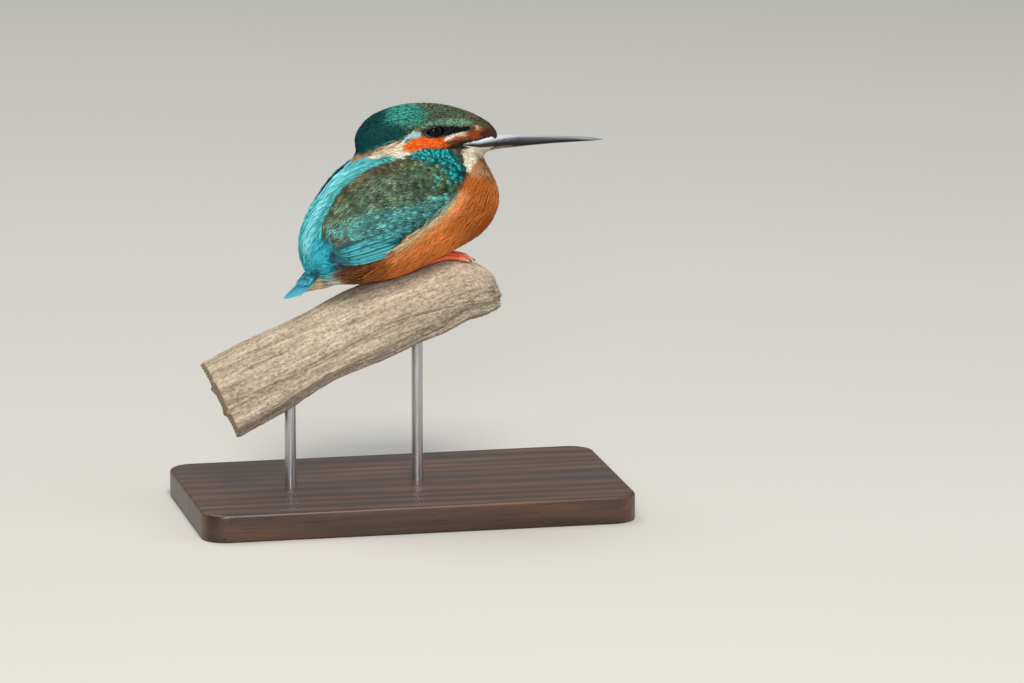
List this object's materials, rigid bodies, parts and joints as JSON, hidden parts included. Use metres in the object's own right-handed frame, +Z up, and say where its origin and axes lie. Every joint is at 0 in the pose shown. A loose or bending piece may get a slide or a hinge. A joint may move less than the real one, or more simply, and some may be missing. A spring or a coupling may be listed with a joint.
{
  "type": "kingfisher",
  "caption": "Life-size still model of a kingfisher at rest, hunched on the broken end of a sloping driftwood branch that two rods hold over a flat base.",
  "frame": {"origin": "middle of the base's underside", "axes": "+X the way the bird faces and its bill points, +Y the bird's left, +Z up"},
  "size_m": [0.156, 0.084, 0.1466],
  "materials": {
    "crown_feathers": "barred feathers with a slight gloss",
    "pale_feathers": "soft matt feathers",
    "breast_feathers": "soft matt feathers",
    "wing_feathers": "close feathers with a slight gloss",
    "tail_feathers": "glossy structural blue",
    "bill_horn": "smooth horn with a satin gloss",
    "eye": "wet, polished",
    "leg_skin": "scaled skin",
    "driftwood": "bare, weathered along the grain",
    "stand_wood": "waxed dark wood",
    "stand_steel": "brushed"
  },
  "bodies": {
    "root": {"head": "crown_feathers", "neck": "pale_feathers", "torso": "breast_feathers", "bill_upper": "bill_horn", "bill_lower": "bill_horn", "eye_right": "eye", "eye_left": "eye", "wing_right": "wing_feathers", "wing_left": "wing_feathers", "tail": "tail_feathers", "leg_right": "leg_skin", "leg_left": "leg_skin", "perch_branch": "driftwood", "stand_base": "stand_wood", "stand_rod_1": "stand_steel", "stand_rod_2": "stand_steel"}
  },
  "joints": []
}
